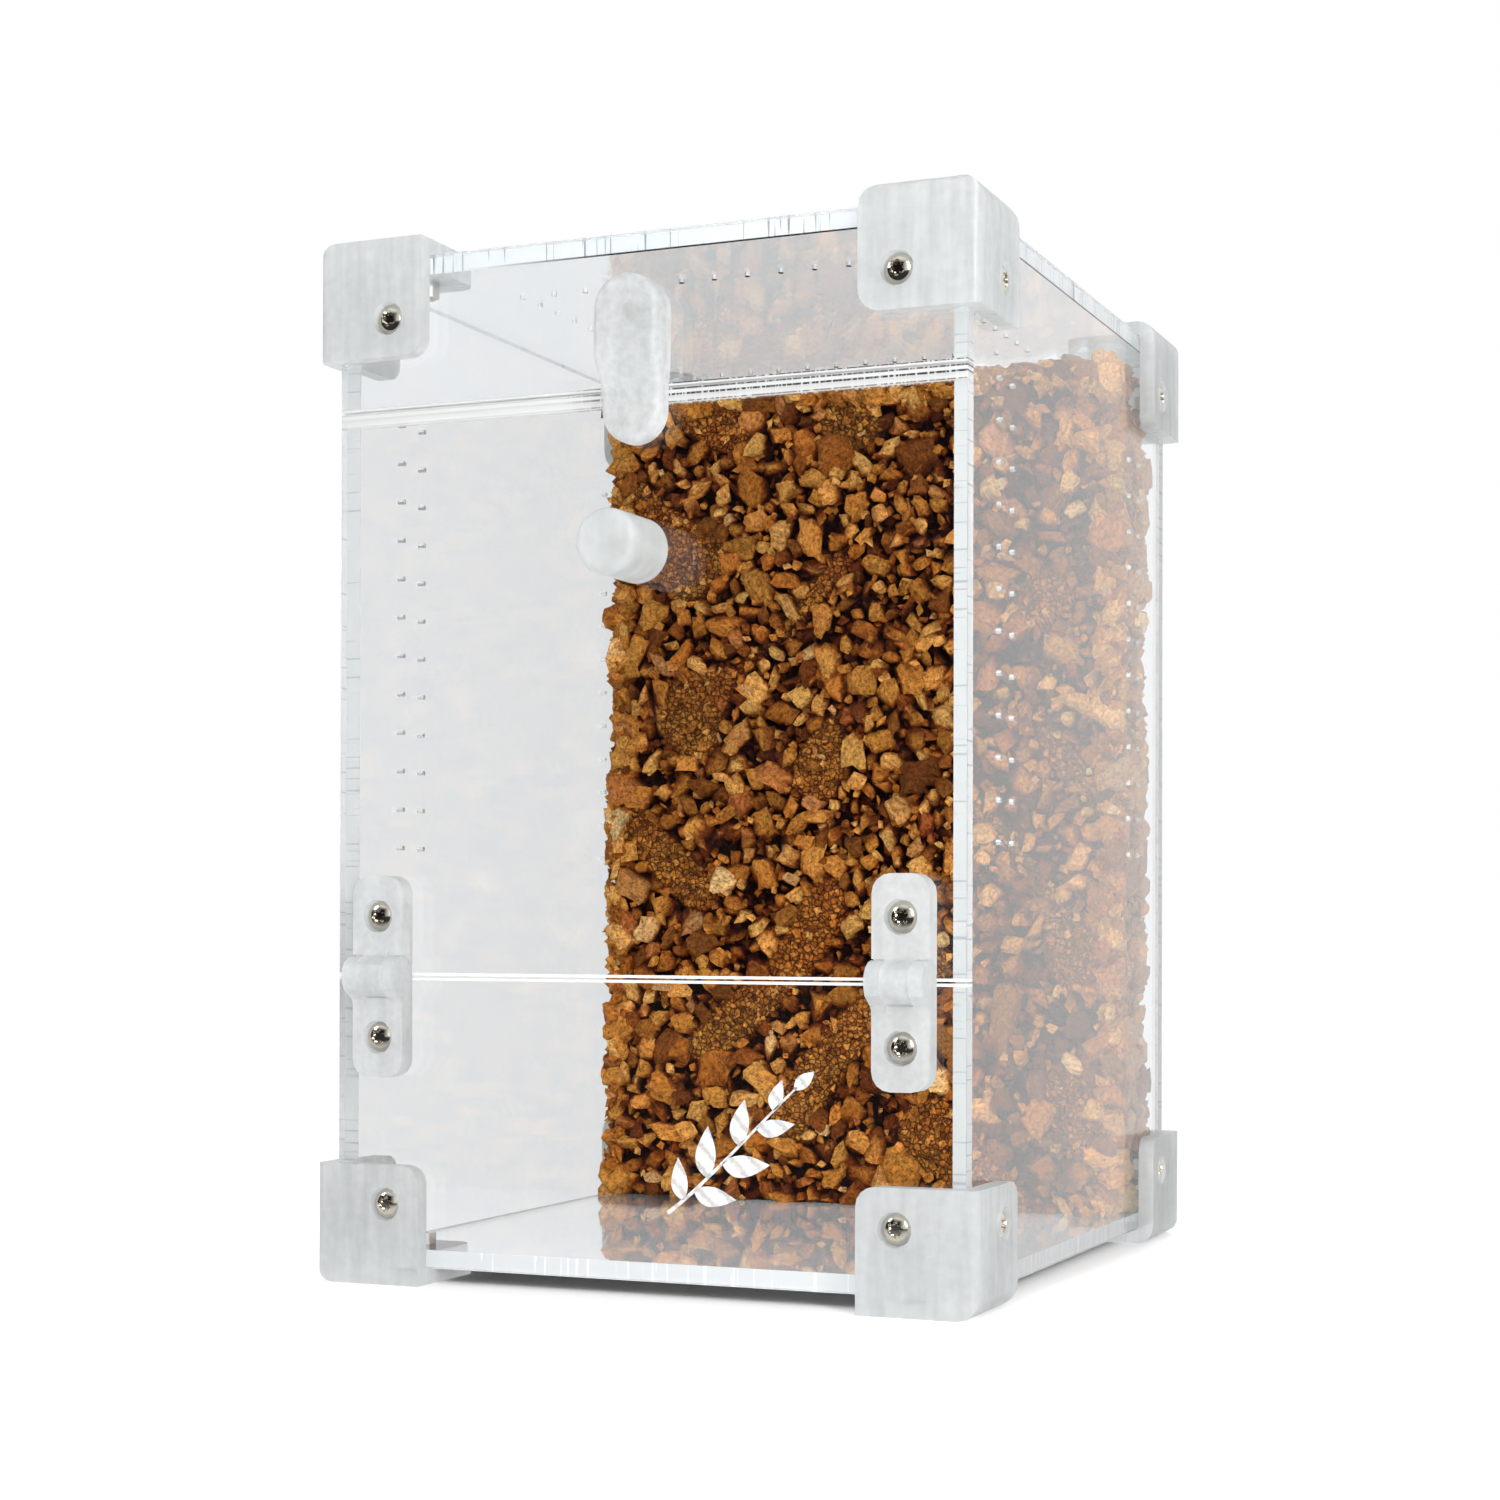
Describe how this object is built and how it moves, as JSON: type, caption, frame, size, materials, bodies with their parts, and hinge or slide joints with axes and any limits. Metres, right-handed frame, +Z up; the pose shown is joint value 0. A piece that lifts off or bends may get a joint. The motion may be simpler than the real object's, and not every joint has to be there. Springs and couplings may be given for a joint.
{
  "type": "insect terrarium",
  "caption": "Upright clear acrylic box for insects with printed corner brackets, a hinged front door with knob and turn catch, fine vent holes and a cork back slab.",
  "frame": {"origin": "middle of the footprint on the table, knob included", "axes": "+Z up, the door and knob look along -Y, +X to the right seen from the front"},
  "size_m": [0.21, 0.237, 0.312],
  "materials": {
    "clear_acrylic": "gloss",
    "frosted_print": "satin",
    "steel": "satin",
    "cork": "matte"
  },
  "bodies": {
    "box": {"back_panel": "clear_acrylic", "bracket_low_back_left": "frosted_print", "bracket_low_back_right": "frosted_print", "bracket_low_front_left": "frosted_print", "bracket_low_front_right": "frosted_print", "bracket_nuts_back": "steel", "bracket_nuts_floor": "steel", "bracket_nuts_front": "steel", "bracket_nuts_left": "steel", "bracket_nuts_right": "steel", "bracket_nuts_top": "steel", "bracket_screws_back": "steel", "bracket_screws_floor": "steel", "bracket_screws_front": "steel", "bracket_screws_left": "steel", "bracket_screws_right": "steel", "bracket_screws_top": "steel", "bracket_top_back_left": "frosted_print", "bracket_top_back_right": "frosted_print", "bracket_top_front_left": "frosted_print", "bracket_top_front_right": "frosted_print", "cork_slab": "cork", "floor_panel": "clear_acrylic", "front_lower_panel": "clear_acrylic", "front_strip": "clear_acrylic", "hinge_fixed_leaf_left": "frosted_print", "hinge_fixed_leaf_right": "frosted_print", "hinge_nuts_fixed": "steel", "hinge_pin_left": "steel", "hinge_pin_right": "steel", "hinge_screws_fixed": "steel", "left_panel": "clear_acrylic", "right_panel": "clear_acrylic", "top_panel": "clear_acrylic"},
    "door": {"door_panel": "clear_acrylic", "hinge_door_leaf_left": "frosted_print", "hinge_door_leaf_right": "frosted_print", "hinge_screws_door": "steel", "hinge_nuts_door": "steel", "knob": "frosted_print", "knob_screw": "steel"},
    "catch": {"turn_catch": "frosted_print", "catch_washer": "steel", "catch_screw": "steel"}
  },
  "joints": [
    {"name": "door_hinge", "type": "hinge", "parent": "box", "child": "door", "pos_m": [0, -0.10275, 0.0917], "axis": [1, 0, 0], "range_deg": [0, 124]},
    {"name": "catch_turn", "type": "hinge", "parent": "box", "child": "catch", "pos_m": [0, -0.0965, 0.2832], "axis": [0, 1, 0], "continuous": true}
  ]
}
